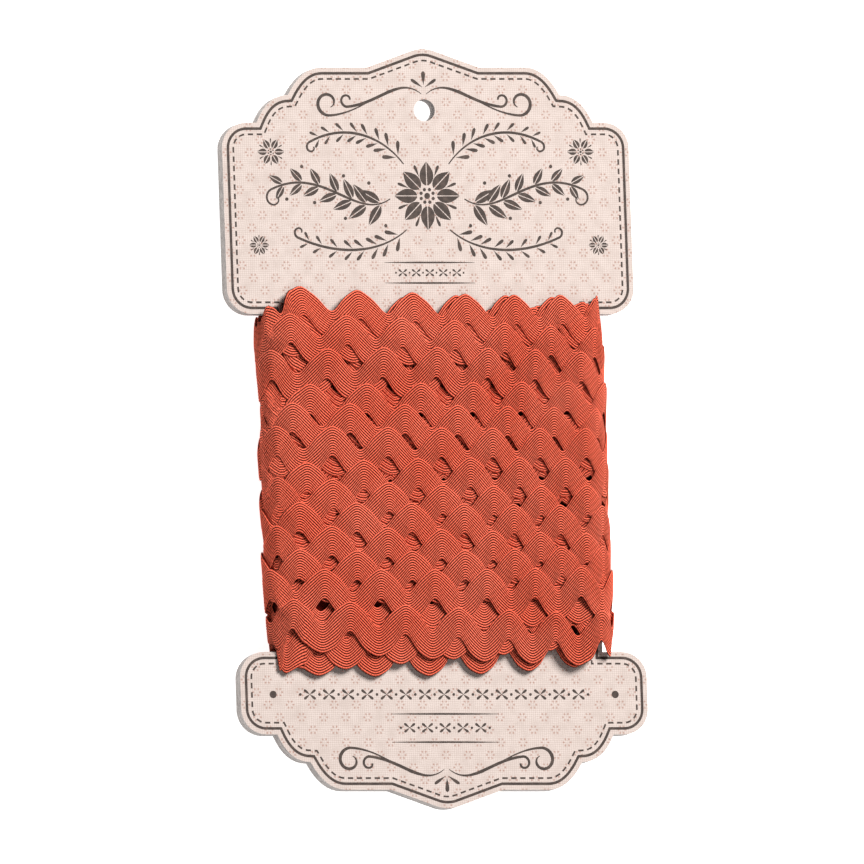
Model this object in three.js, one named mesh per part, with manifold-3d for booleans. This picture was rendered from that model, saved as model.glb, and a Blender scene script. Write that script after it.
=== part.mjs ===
// A roll of ric rac: wavy flat braid wound round the narrow waist of a greyboard card.
//
// Millimetres. The card lies on its back, printed face up. X runs across the card, Y runs up it,
// and +Z points out of the printed face. The origin is on the surface that the roll rests on,
// under the middle of the card: the winding is thicker than the card and holds it off the surface.

import * as THREE from "three";
import { mergeVertices } from "three/addons/utils/BufferGeometryUtils.js";
import Module from "manifold-3d";

const wasm = await Module();
wasm.setup();

// The card's driving sizes. Both ends have the same stepped outline.
const CARD = {
  halfHeight: 74.1,
  halfWidth: 41.5,
  waistHalfWidth: 32.6,
  topPanelEdge: 22.35,
  bottomPanelEdge: -43.6,
  cornerRadius: 5,
  thickness: 3,
};

// The stepped outline of an end, on the right half, from the side shoulder to the point.
const END = {
  shoulderY: 59.7,
  outerNotchX: 34.3,
  outerLobeX: 32,
  lobeY: 65.1,
  innerNotchX: 27.7,
  innerLobeX: 24.8,
  ledgeX: 20.7,
  ledgeY: 70.5,
  ledgeEndX: 11.4,
  slopeTopX: 2.3,
  slopeTopY: 73.7,
};

const HANG_HOLE = { y: 62.1, radius: 2.15 };

// The wound form. Its front and back are flat stretches joined by rounded sides.
const WINDING = {
  flatHalfWidth: 31,
  sideBulge: 4,
  depth: 11,
  waveHeight: 4.5,
  bandHeight: 5.9,
  crestRoundness: 0.2,
  waveLengthAtCentre: 10.68,
  waveLengthSlope: -0.042,
  wavesInTurn: 15,
};

// The oval that is pressed flat at the back, where the roll rests.
const FLAT_SPOT = { halfWidth: 15, halfHeight: 19, y: -10, blend: 1.45 };

// How far each line of a turn stands out, as a share of the way from the card to the outermost wrap.
const RELIEF = { edge: 1, underside: 0.74, hole: 0.34, buried: -0.25 };

// Room between the braid and the card, and between two lines that follow each other down a turn.
const CARD_CLEARANCE = 0.3;
const STEP_DROP = 0.18;
const LINE_SPACING = 0.45;

const FRONT_COLUMNS = 38;
const SIDE_COLUMNS = 8;
const CURVE_STEPS = 8;
const HOLE_STEPS = 12;
const MERGE_DISTANCE = 1e-4;

// One row for each turn of braid that shows, from the top down. crest is where a crest stands, in
// waves from the middle of the card. left and right are the crests' heights at the ends of the front,
// bow is how far they rise between, and stands is how far out the turn lies.
const TURNS = [
  { crest: 0.49, left: 27.8, right: 25.9, bow: -0.6, stands: 0.8 },
  { crest: 0.24, left: 21.7, right: 19.5, bow: 0.3, stands: 0.92 },
  { crest: 0.85, left: 15.1, right: 14.7, bow: 0.65, stands: 1 },
  { crest: 0.51, left: 8.3, right: 8.9, bow: 0, stands: 1 },
  { crest: 0.23, left: 4.8, right: 4, bow: 0.2, stands: 1 },
  { crest: 0.9, left: 0.5, right: -0.2, bow: 0, stands: 1 },
  { crest: 0.44, left: -6.6, right: -5.7, bow: 0.8, stands: 1 },
  { crest: 0.89, left: -9.3, right: -10.7, bow: -0.6, stands: 1 },
  { crest: 0.28, left: -14.6, right: -14.9, bow: 0.2, stands: 1 },
  { crest: 0.84, left: -19, right: -20.7, bow: 0, stands: 1 },
  { crest: 0.25, left: -24, right: -23.2, bow: -0.65, stands: 1 },
  { crest: 0.68, left: -28.1, right: -27.2, bow: -0.25, stands: 1 },
  { crest: 0.12, left: -33.5, right: -36.2, bow: -0.2, stands: 0.97 },
];

// Older turns whose lower edges show under the last full turn. Their crests are that edge's notches.
const UNDER_TURNS = [
  { crest: 0.6, left: -43.4, right: -38.5, bow: 0, stands: 0.66 },
  { crest: 0.2, left: -43.8, right: -42.1, bow: -0.9, stands: 0.36 },
];

const braidMaterial = new THREE.MeshStandardMaterial({ color: 0xe2614a, roughness: 0.85, metalness: 0 });
const cardMaterial = new THREE.MeshStandardMaterial({ color: 0xefe0d8, roughness: 0.8, metalness: 0 });

// Conversions between a closed three.js geometry and a solid that can be cut.
function toSolid(geometry) {
  const bare = geometry.clone();
  bare.deleteAttribute("normal");
  bare.deleteAttribute("uv");
  const merged = mergeVertices(bare, MERGE_DISTANCE);
  return new wasm.Manifold(
    new wasm.Mesh({
      numProp: 3,
      vertProperties: new Float32Array(merged.attributes.position.array),
      triVerts: new Uint32Array(merged.index.array),
    }),
  );
}

function toGeometry(solid) {
  const mesh = solid.getMesh();
  const geometry = new THREE.BufferGeometry();
  geometry.setAttribute("position", new THREE.BufferAttribute(mesh.vertProperties, 3));
  geometry.setIndex(new THREE.BufferAttribute(mesh.triVerts, 1));
  geometry.computeVertexNormals();
  return geometry;
}

// The right half of the top end, from the corner at the waist round to the point on the axis.
function endOutline(panelEdge) {
  const r = CARD.cornerRadius;
  const cornerX = CARD.halfWidth - r;
  const path = new THREE.Path();
  path.moveTo(CARD.waistHalfWidth, panelEdge);
  path.lineTo(cornerX, panelEdge);
  path.absarc(cornerX, panelEdge + r, r, -Math.PI / 2, 0, false);
  path.absarc(cornerX, END.shoulderY - r, r, 0, Math.PI / 2, false);
  path.lineTo(END.outerNotchX, END.shoulderY);
  path.quadraticCurveTo(END.outerLobeX, END.lobeY, END.innerNotchX, END.lobeY);
  path.quadraticCurveTo(END.innerLobeX, END.ledgeY, END.ledgeX, END.ledgeY);
  path.lineTo(END.ledgeEndX, END.ledgeY);
  path.lineTo(END.slopeTopX, END.slopeTopY);
  path.quadraticCurveTo(END.slopeTopX / 2, CARD.halfHeight, 0, CARD.halfHeight);
  return path.getPoints(CURVE_STEPS);
}

function mirrored(points, signX, signY) {
  return points.map((p) => new THREE.Vector2(signX * p.x, signY * p.y));
}

function cardGeometry() {
  const top = endOutline(CARD.topPanelEdge);
  const bottom = endOutline(-CARD.bottomPanelEdge);
  const outline = new THREE.Shape([
    ...top,
    ...mirrored(top, -1, 1).reverse().slice(1),
    ...mirrored(bottom, -1, -1),
    ...mirrored(bottom, 1, -1).reverse().slice(1),
  ]);
  const hole = new THREE.Path();
  hole.absarc(0, HANG_HOLE.y, HANG_HOLE.radius, 0, 2 * Math.PI, true);
  outline.holes.push(hole);
  const geometry = new THREE.ExtrudeGeometry(outline, {
    depth: CARD.thickness,
    bevelEnabled: false,
    curveSegments: HOLE_STEPS,
  });
  return geometry.translate(0, 0, cardBackZ());
}

function cardBackZ() {
  return (WINDING.depth - CARD.thickness) / 2;
}

// The space that the card and its clearance take inside the winding: a waist between two panels
// that are longer than the winding's rims reach.
function cardSpace() {
  const waist = CARD.waistHalfWidth + CARD_CLEARANCE;
  const wide = CARD.halfWidth + CARD_CLEARANCE;
  const panelLength = 12;
  const top = CARD.topPanelEdge - CARD_CLEARANCE;
  const bottom = CARD.bottomPanelEdge + CARD_CLEARANCE;
  const right = [
    new THREE.Vector2(wide, bottom - panelLength),
    new THREE.Vector2(wide, bottom),
    new THREE.Vector2(waist, bottom),
    new THREE.Vector2(waist, top),
    new THREE.Vector2(wide, top),
    new THREE.Vector2(wide, top + panelLength),
  ];
  const outline = new THREE.Shape([...right, ...mirrored(right, -1, 1).reverse()]);
  const depth = CARD.thickness + 2 * CARD_CLEARANCE;
  const geometry = new THREE.ExtrudeGeometry(outline, { depth, bevelEnabled: false });
  return toSolid(geometry.translate(0, 0, cardBackZ() - CARD_CLEARANCE));
}

// Waves between the middle of the card and x, on a front whose waves shorten towards the right.
function wavesAcrossFront(x) {
  const { waveLengthAtCentre, waveLengthSlope } = WINDING;
  return Math.log((waveLengthAtCentre + waveLengthSlope * x) / waveLengthAtCentre) / waveLengthSlope;
}

// The columns of the wound form, once round it: along the front, down the right side, back along the
// back and up the left side. Each has a point on the card's section, a point on the outermost wrap,
// its place in waves, and how far it is from the front's left end (0) to its right end (1).
function turnColumns() {
  const { flatHalfWidth, sideBulge, depth, wavesInTurn } = WINDING;
  const middleZ = depth / 2;
  const innerBulge = CARD.waistHalfWidth - flatHalfWidth;
  const columns = [];
  const add = (x, angle, side) => {
    const place = (bulge, halfDepth) =>
      new THREE.Vector2(x + side * bulge * Math.cos(angle), middleZ + halfDepth * Math.sin(angle));
    columns.push({ inner: place(innerBulge, CARD.thickness / 2), outer: place(sideBulge, middleZ), x });
  };
  const frontStep = (2 * flatHalfWidth) / FRONT_COLUMNS;
  const sideStep = Math.PI / SIDE_COLUMNS;
  for (let i = 0; i < FRONT_COLUMNS; i++) add(-flatHalfWidth + i * frontStep, Math.PI / 2, 0);
  for (let i = 0; i < SIDE_COLUMNS; i++) add(flatHalfWidth, Math.PI / 2 - i * sideStep, 1);
  for (let i = 0; i < FRONT_COLUMNS; i++) add(flatHalfWidth - i * frontStep, -Math.PI / 2, 0);
  for (let i = 0; i < SIDE_COLUMNS; i++) add(-flatHalfWidth, -Math.PI / 2 + i * sideStep, -1);

  const lastOfFront = FRONT_COLUMNS;
  const wavesOnFront = wavesAcrossFront(flatHalfWidth) - wavesAcrossFront(-flatHalfWidth);
  const wavesElsewhere = wavesInTurn - wavesOnFront;
  const along = [0];
  for (let i = lastOfFront; i < columns.length; i++) {
    const next = columns[(i + 1) % columns.length];
    along.push(along.at(-1) + columns[i].outer.distanceTo(next.outer));
  }
  columns.forEach((column, i) => {
    column.across = (column.x + flatHalfWidth) / (2 * flatHalfWidth);
    column.waves = wavesAcrossFront(column.x);
    if (i > lastOfFront) {
      const share = along[i - lastOfFront] / along.at(-1);
      column.waves = wavesAcrossFront(flatHalfWidth) + share * wavesElsewhere;
    }
    column.onBack = i >= FRONT_COLUMNS + SIDE_COLUMNS && i <= 2 * FRONT_COLUMNS + SIDE_COLUMNS;
  });
  return columns;
}

// The height of a turn's edge at one column. The braid bends edgeways at each crest, so the upper
// edge (side 1) has broad crests and tight troughs, and the lower edge (side -1) the reverse.
function edgeHeight(turn, column, side) {
  const rise = turn.bow * 4 * column.across * (1 - column.across);
  const crestLine = THREE.MathUtils.lerp(turn.left, turn.right, column.across) + rise;
  const phase = 2 * Math.PI * (column.waves - turn.crest);
  const wave = Math.cos(phase) + side * WINDING.crestRoundness * Math.sin(phase) ** 2;
  return crestLine - (WINDING.waveHeight * (1 - wave)) / 2;
}

// The lines of the relief down one column, as pairs of height and share of the way out. Each turn
// lies on the one above it, so its upper edge stands out and hides what is lower. Where the waves of
// two turns part, a hole shows the deeper wraps.
function columnLines(column) {
  const edges = TURNS.map((turn) => edgeHeight(turn, column, 1));
  for (let i = edges.length - 2; i >= 0; i--) {
    edges[i] = Math.max(edges[i], edges[i + 1] + 2 * LINE_SPACING);
  }
  const lines = [{ y: edges[0], out: RELIEF.buried }];
  TURNS.forEach((turn, i) => {
    const bandEnd = edgeHeight(turn, column, -1) - WINDING.bandHeight;
    lines.push({ y: edges[i] - STEP_DROP, out: RELIEF.edge * turn.stands });
    if (i === TURNS.length - 1) {
      lines.push({ y: Math.min(bandEnd, edges[i] - LINE_SPACING), out: RELIEF.edge * turn.stands });
      return;
    }
    const nextEdge = edges[i + 1];
    const low = Math.max(bandEnd, nextEdge + LINE_SPACING);
    const open = THREE.MathUtils.clamp((low - nextEdge - LINE_SPACING) / LINE_SPACING, 0, 1);
    lines.push({ y: low, out: RELIEF.underside * turn.stands });
    lines.push({ y: nextEdge, out: THREE.MathUtils.lerp(RELIEF.underside, RELIEF.hole, open) * turn.stands });
  });
  for (const turn of UNDER_TURNS) {
    const above = lines.at(-1).y;
    lines.push({ y: above - STEP_DROP, out: turn.stands });
    lines.push({ y: Math.min(edgeHeight(turn, column, -1), above - LINE_SPACING), out: turn.stands });
  }
  lines.push({ y: lines.at(-1).y - STEP_DROP, out: RELIEF.buried });
  return lines;
}

// At the back the relief sinks into one flat oval, which keeps the depth of the outermost wrap.
function flattened(out, column, x, y) {
  if (!column.onBack || out < 0) {
    return out;
  }
  const reach = Math.hypot(x / FLAT_SPOT.halfWidth, (y - FLAT_SPOT.y) / FLAT_SPOT.halfHeight);
  return THREE.MathUtils.lerp(1, out, THREE.MathUtils.smoothstep(reach, 1, FLAT_SPOT.blend));
}

// A closed skin over all columns and lines, with a fan at each end that is buried in the card.
function woundForm() {
  const columns = turnColumns();
  const positions = [];
  let lineCount = 0;
  for (const column of columns) {
    const lines = columnLines(column);
    lineCount = lines.length;
    for (const line of lines) {
      const out = flattened(line.out, column, column.x, line.y);
      const at = column.inner.clone().lerp(column.outer, out);
      positions.push(at.x, line.y, at.y);
    }
  }
  const n = columns.length;
  const topCentre = positions.length / 3;
  positions.push(0, CARD.topPanelEdge, WINDING.depth / 2);
  positions.push(0, CARD.bottomPanelEdge, WINDING.depth / 2);
  const indices = [];
  for (let c = 0; c < n; c++) {
    const here = c * lineCount;
    const next = ((c + 1) % n) * lineCount;
    for (let l = 0; l < lineCount - 1; l++) {
      indices.push(here + l, here + l + 1, next + l + 1);
      indices.push(here + l, next + l + 1, next + l);
    }
    indices.push(topCentre, here, next);
    indices.push(topCentre + 1, next + lineCount - 1, here + lineCount - 1);
  }
  const geometry = new THREE.BufferGeometry();
  geometry.setAttribute("position", new THREE.Float32BufferAttribute(positions, 3));
  geometry.setIndex(indices);
  return toSolid(geometry);
}

function namedMesh(name, geometry, material) {
  const mesh = new THREE.Mesh(geometry, material);
  mesh.name = name;
  return mesh;
}

const roll = new THREE.Group();
roll.add(namedMesh("card", cardGeometry(), cardMaterial));
roll.add(namedMesh("winding", toGeometry(woundForm().subtract(cardSpace())), braidMaterial));

export default roll;
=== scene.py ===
"""The looks of a roll of ric rac: a printed card, and the real turns of braid wound round its waist.

Lengths in the classes are millimetres in the row frame: X across the card, Y up it, Z out of its
printed face. They become metres where a mesh is made.
"""

import logging
import math
from dataclasses import dataclass, field
from enum import Enum

import bpy
import numpy as np
from mathutils import Matrix, Vector


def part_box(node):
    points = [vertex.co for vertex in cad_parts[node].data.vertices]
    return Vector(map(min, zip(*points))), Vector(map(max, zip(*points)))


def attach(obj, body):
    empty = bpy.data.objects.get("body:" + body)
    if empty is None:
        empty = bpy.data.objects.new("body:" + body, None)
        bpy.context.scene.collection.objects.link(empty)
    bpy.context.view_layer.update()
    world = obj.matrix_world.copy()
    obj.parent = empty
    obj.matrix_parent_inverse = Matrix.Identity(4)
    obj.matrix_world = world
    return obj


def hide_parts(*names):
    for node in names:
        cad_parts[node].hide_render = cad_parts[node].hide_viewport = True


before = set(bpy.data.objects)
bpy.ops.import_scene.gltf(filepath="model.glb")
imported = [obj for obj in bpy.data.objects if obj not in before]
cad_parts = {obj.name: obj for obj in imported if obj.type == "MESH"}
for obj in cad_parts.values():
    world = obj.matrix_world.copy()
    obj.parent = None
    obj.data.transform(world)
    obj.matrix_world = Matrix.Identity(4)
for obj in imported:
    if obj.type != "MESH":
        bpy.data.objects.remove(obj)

MM = 0.001
BODY = "root"
BRAID_MAP = "braid"
log = logging.getLogger("roll")


def linear(hex_colour: str, alpha: float = 1.0) -> tuple[float, float, float, float]:
    """Turns an sRGB hex colour to linear light.

    Args:
        hex_colour: Six hex digits, such as "ee7a60".
        alpha: The opacity that goes with it.

    Returns:
        Red, green, blue and alpha.
    """
    parts = [int(hex_colour[i : i + 2], 16) / 255 for i in (0, 2, 4)]
    red, green, blue = (c / 12.92 if c <= 0.04045 else ((c + 0.055) / 1.055) ** 2.4 for c in parts)
    return red, green, blue, alpha


def per_mm(size: float) -> float:
    """Gives a texture's scale for features of a size in millimetres: one over the size in metres."""
    return 1 / (size * MM)


def add_node(tree: bpy.types.NodeTree, kind: str, *inputs, **settings) -> bpy.types.Node:
    """Adds a shader node, sets it and feeds its inputs.

    A feed is a value, a socket, or a node, which stands for its first output that is in use.

    Args:
        tree: The node tree.
        kind: The node's type name, without its "ShaderNode" prefix.
        inputs: Feeds of the inputs that are in use, in their order.
        settings: Node properties, and feeds of inputs by name, with spaces as underscores.

    Returns:
        The node.
    """
    node = tree.nodes.new("ShaderNode" + kind)
    named = {name.replace("_", " "): value for name, value in settings.items()}
    for name, value in settings.items():
        if name.replace("_", " ") not in node.inputs:
            setattr(node, name, value)
    feeds = list(zip([socket for socket in node.inputs if socket.enabled], inputs))
    feeds += [(node.inputs[name], value) for name, value in named.items() if name in node.inputs]
    for socket, feed in feeds:
        if isinstance(feed, bpy.types.Node):
            feed = next(output for output in feed.outputs if output.enabled)
        if isinstance(feed, bpy.types.NodeSocket):
            tree.links.new(feed, socket)
        else:
            socket.default_value = feed
    return node


def new_material(name: str) -> tuple[bpy.types.Material, bpy.types.NodeTree]:
    """Makes an empty node material.

    Args:
        name: The material's name.

    Returns:
        The material and its tree.
    """
    material = bpy.data.materials.new(name)
    material.use_nodes = True
    material.node_tree.nodes.clear()
    return material, material.node_tree


def make_piece(name: str, points: np.ndarray, faces: list, material: bpy.types.Material,
               slot: str | None, uv: np.ndarray | None = None, smooth: bool = True) -> bpy.types.Object:
    """Makes a mesh object that rides on the roll's body.

    Args:
        name: The piece's name.
        points: Vertices in millimetres, one row each.
        faces: Lists of vertex numbers, anticlockwise seen from outside.
        material: Its finish.
        slot: The record's material slot, which is not set on the piece; unless it is None, the piece rides
            on the body.
        uv: One pair a vertex, for a pattern that follows the surface.
        smooth: Whether its faces are shaded smooth.

    Returns:
        The object.
    """
    mesh = bpy.data.meshes.new(name)
    mesh.from_pydata((points * MM).tolist(), [], faces)
    mesh.polygons.foreach_set("use_smooth", np.full(len(mesh.polygons), smooth))
    if uv is not None:
        corners = np.zeros(len(mesh.loops), np.int32)
        mesh.loops.foreach_get("vertex_index", corners)
        layer = mesh.uv_layers.new(name=BRAID_MAP)
        layer.data.foreach_set("uv", uv[corners].astype(np.float32).ravel())
    mesh.materials.append(material)
    mesh.update()
    piece = bpy.data.objects.new(name, mesh)
    bpy.context.scene.collection.objects.link(piece)
    if slot is not None:
        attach(piece, BODY)
    log.info("%s: %d faces", name, len(faces))
    return piece


def smoothstep(low: float, high: float, value: np.ndarray) -> np.ndarray:
    """Rises from 0 at low to 1 at high as 3u² - 2u³."""
    u = np.clip((value - low) / (high - low), 0, 1)
    return u * u * (3 - 2 * u)


@dataclass(frozen=True)
class BraidFinish:
    """Ribbed woven cotton ric rac, dyed coral.

    Each rib is a row of plied yarn, round and matt on its crown, with painted shade darkening the groove
    beside it, and one small bead where each weft pick crosses it, with painted shade between the beads.
    The dye has taken a little less in patches.
    """

    name: str = "ric_rac_woven_cotton"
    crown: str = "e4644c"
    # Near-black painted shade for the grooves; the ridge range below sets where it fades out.
    painted_groove_shade: str = "260201"
    faded: str = "ef8069"
    sheen_tint: str = "ffb09a"
    painted_groove_range: tuple[float, float] = (0.08, 0.48)
    bead_pitch: float = 0.54
    bead_share: float = 0.3
    # Painted shade between the beads: its darkest share of the colour, and how far along a bead it reaches.
    painted_bead_shade: float = 0.5
    painted_bead_shade_end: float = 0.6
    bead_relief: float = 0.12
    dye_patch: float = 11.11
    dye_range: tuple[float, float] = (0.35, 0.7)
    dye_lost: float = 0.4
    fibre: float = 0.2857
    fibre_share: float = 0.15
    roughness: float = 0.85
    sheen: float = 0.02
    specular: float = 0.06

    def material(self) -> bpy.types.Material:
        """Builds the braid's material on its own map: along the braid in mm, and across it in ribs.

        A rib's ridge is sin² of pi times the place across. Its beads are the size of the sine of pi
        times the place along over the pitch, half a bead later on each next rib.

        Returns:
            The material.
        """
        material, tree = new_material(self.name)
        place = add_node(tree, "SeparateXYZ", add_node(tree, "UVMap", uv_map=BRAID_MAP))
        along, across = place.outputs[0], place.outputs[1]

        turn = add_node(tree, "Math", across, math.pi, operation="MULTIPLY")
        wave = add_node(tree, "Math", turn, operation="SINE")
        ridge = add_node(tree, "Math", wave, wave, operation="MULTIPLY")
        rib = add_node(tree, "Math", across, operation="FLOOR")
        stagger = add_node(tree, "Math", rib, math.pi / 2, operation="MULTIPLY")
        picks = add_node(tree, "Math", along, math.pi / self.bead_pitch, stagger, operation="MULTIPLY_ADD")
        bead_wave = add_node(tree, "Math", picks, operation="SINE")
        bead = add_node(tree, "Math", bead_wave, operation="ABSOLUTE")

        # Painted shade: the colour darkens to near black in each groove and between the beads, where shade
        # falls.
        shade = add_node(tree, "MapRange", ridge, *self.painted_groove_range)
        # Painted shade between the beads along each rib.
        painted_bead_mask = add_node(tree, "MapRange", bead, 0.0, self.painted_bead_shade_end, self.painted_bead_shade, 1.0)
        painted_shade_mask = add_node(tree, "Math", shade, painted_bead_mask, operation="MULTIPLY")
        where = add_node(tree, "TexCoord").outputs["Object"]
        patches = add_node(tree, "TexNoise", where, Scale=per_mm(self.dye_patch), Detail=3.0)
        fade = add_node(tree, "MapRange", patches, *self.dye_range, 0.0, self.dye_lost)
        crown = add_node(tree, "Mix", fade, linear(self.crown), linear(self.faded), data_type="RGBA")
        colour = add_node(tree, "Mix", painted_shade_mask, linear(self.painted_groove_shade), crown, data_type="RGBA")

        full = add_node(tree, "MapRange", bead, 0.0, 1.0, 1 - self.bead_share)
        lump = add_node(tree, "Math", full, ridge, operation="MULTIPLY")
        fibres = add_node(tree, "TexNoise", where, Scale=per_mm(self.fibre), Detail=2.0)
        height = add_node(tree, "Math", fibres, self.fibre_share, lump, operation="MULTIPLY_ADD")
        bump = add_node(tree, "Bump", Strength=1.0, Distance=self.bead_relief * MM, Height=height)
        shader = add_node(tree, "BsdfPrincipled", Base_Color=colour, Normal=bump, Roughness=self.roughness,
                          Specular_IOR_Level=self.specular, Sheen_Weight=self.sheen, Sheen_Roughness=0.5,
                          Sheen_Tint=linear(self.sheen_tint))
        add_node(tree, "OutputMaterial", shader)
        return material


@dataclass(frozen=True)
class BoardFinish:
    """Greyboard with a paper face printed in pale pink beige, and left plain at the back.

    The print is offset on matt paper, so it has a fine linen grain and no gloss. The die-cut edge
    shows the grey board, with its fibres running along the edge.
    """

    paper: str = "aea29d"
    paper_light: str = "c1b6b2"
    flower: str = "957368"
    board: str = "a8a3a1"
    board_dark: str = "878280"
    linen_pitch: float = 0.42
    linen_range: tuple[float, float] = (0.2, 0.9)
    slub: float = 2.381
    fibre: float = 1.111
    ply: float = 3.846
    ply_flatness: float = 9.0
    board_range: tuple[float, float] = (0.12, 0.42)
    flower_pitch: tuple[float, float] = (4.5, 4.9)
    petals: int = 6
    petal_ring: float = 0.68
    petal_reach: tuple[float, float] = (0.3, 0.1)
    petal_sides: tuple[float, float] = (-0.3, 0.7)
    wear: float = 0.17
    wear_range: tuple[float, float] = (0.35, 0.65)
    worn_ink: float = 0.45
    paper_depth: float = 0.05
    relief: float = 0.03
    relief_strength: float = 0.35
    roughness: float = 0.72
    specular: float = 0.3

    def material(self, face_z: float) -> bpy.types.Material:
        """Builds the card's material.

        Args:
            face_z: The height of the printed face, in millimetres.

        Returns:
            A material that is paper at that height and bare board below it.
        """
        material, tree = new_material("greyboard_printed_paper")
        where = add_node(tree, "TexCoord").outputs["Object"]
        axes = add_node(tree, "SeparateXYZ", where)
        x, y, z = (add_node(tree, "Math", place, MM, operation="DIVIDE") for place in axes.outputs)

        weave = self.linen(tree, where)
        tones = linear(self.paper), linear(self.paper_light)
        ground = add_node(tree, "Mix", weave, *tones, data_type="RGBA")
        flowers = self.flower_mask(tree, where, (x, y))
        printed = add_node(tree, "Mix", flowers, ground, linear(self.flower), data_type="RGBA")

        fibres = add_node(tree, "TexNoise", where, Scale=per_mm(self.fibre), Detail=4.0)
        layers = add_node(tree, "Mapping", where, Scale=(1.0, 1.0, self.ply_flatness))
        plies = add_node(tree, "TexNoise", layers, Scale=per_mm(self.ply), Detail=3.0)
        grain = add_node(tree, "Math", fibres, plies, operation="MULTIPLY")
        spread = add_node(tree, "MapRange", grain, *self.board_range)
        board = add_node(tree, "Mix", spread, linear(self.board_dark), linear(self.board), data_type="RGBA")

        on_face = add_node(tree, "Math", z, face_z - self.paper_depth, operation="GREATER_THAN")
        colour = add_node(tree, "Mix", on_face, board, printed, data_type="RGBA")
        height = add_node(tree, "Math", fibres, weave, operation="ADD")
        bump = add_node(tree, "Bump", Strength=self.relief_strength, Distance=self.relief * MM,
                        Height=height)
        shader = add_node(tree, "BsdfPrincipled", Base_Color=colour, Normal=bump, Roughness=self.roughness,
                          Specular_IOR_Level=self.specular)
        add_node(tree, "OutputMaterial", shader)
        return material

    def linen(self, tree: bpy.types.NodeTree, where: bpy.types.NodeSocket) -> bpy.types.Node:
        """Makes a cross of fine threads: a wave of one pitch each way, broken up by noise.

        The wave texture turns by 20 times its scale a metre, so its scale is 2 pi over 20 pitches.

        Args:
            tree: The node tree.
            where: The place on the card.

        Returns:
            The node whose output is 0 between threads and 1 on them.
        """
        scale = 2 * math.pi / (20 * self.linen_pitch * MM)
        threads = [
            add_node(tree, "TexWave", where, bands_direction=way, Scale=scale, Distortion=2.5, Detail=2.0,
                     Detail_Scale=1.5).outputs["Fac"]
            for way in ("X", "Y")
        ]
        cross = add_node(tree, "Math", *threads, operation="ADD")
        slubs = add_node(tree, "TexNoise", where, Scale=per_mm(self.slub), Detail=3.0)
        mixed = add_node(tree, "Math", cross, slubs, operation="MULTIPLY")
        return add_node(tree, "MapRange", mixed, *self.linen_range)

    def flower_mask(self, tree: bpy.types.NodeTree, where: bpy.types.NodeSocket,
                    place: tuple[bpy.types.Node, bpy.types.Node]) -> bpy.types.Node:
        """Makes small staggered flowers: a ring of petals, cut by the cosine of petals times the angle.

        Args:
            tree: The node tree.
            where: The place on the card, in metres.
            place: The places across and up the card, in millimetres.

        Returns:
            The node whose output is 1 on a petal, and a little less where the print is worn.
        """
        masks = []
        for shift in (0.0, 0.5):
            cell = []
            for axis, pitch in zip(place, self.flower_pitch):
                moved = add_node(tree, "Math", axis, 1 / pitch, shift, operation="MULTIPLY_ADD")
                part = add_node(tree, "Math", moved, operation="FRACT")
                cell.append(add_node(tree, "Math", part, pitch, -pitch / 2, operation="MULTIPLY_ADD"))
            radius = add_node(tree, "VectorMath", add_node(tree, "CombineXYZ", *cell), operation="LENGTH")
            angle = add_node(tree, "Math", cell[1], cell[0], operation="ARCTAN2")
            turned = add_node(tree, "Math", angle, self.petals, operation="MULTIPLY")
            lobes = add_node(tree, "Math", turned, operation="COSINE")
            off_ring = add_node(tree, "Math", radius, self.petal_ring, operation="SUBTRACT")
            ring = add_node(tree, "Math", off_ring, operation="ABSOLUTE")
            band = add_node(tree, "MapRange", ring, *self.petal_reach)
            petal = add_node(tree, "MapRange", lobes, *self.petal_sides)
            masks.append(add_node(tree, "Math", band, petal, operation="MULTIPLY"))
        both = add_node(tree, "Math", *masks, operation="MAXIMUM")
        worn = add_node(tree, "TexNoise", where, Scale=per_mm(self.wear), Detail=2.0)
        patch = add_node(tree, "MapRange", worn, *self.wear_range, self.worn_ink, 1.0)
        return add_node(tree, "Math", both, patch, operation="MULTIPLY")


@dataclass(frozen=True)
class InkFinish:
    """Dark brown offset ink on matt paper, a little thin in places where the paper's grain shows."""

    ink: str = "2f2521"
    thin: str = "52443e"
    grain: float = 0.9091
    grain_range: tuple[float, float] = (0.45, 0.75)
    thinnest: float = 0.7
    roughness: float = 0.6
    specular: float = 0.3

    def material(self) -> bpy.types.Material:
        """Builds the ink's material.

        Returns:
            The material.
        """
        material, tree = new_material("offset_ink_brown")
        where = add_node(tree, "TexCoord").outputs["Object"]
        grain = add_node(tree, "TexNoise", where, Scale=per_mm(self.grain), Detail=3.0)
        thin = add_node(tree, "MapRange", grain, *self.grain_range, 0.0, self.thinnest)
        colour = add_node(tree, "Mix", thin, linear(self.ink), linear(self.thin), data_type="RGBA")
        shader = add_node(tree, "BsdfPrincipled", Base_Color=colour, Roughness=self.roughness,
                          Specular_IOR_Level=self.specular)
        add_node(tree, "OutputMaterial", shader)
        return material


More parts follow.
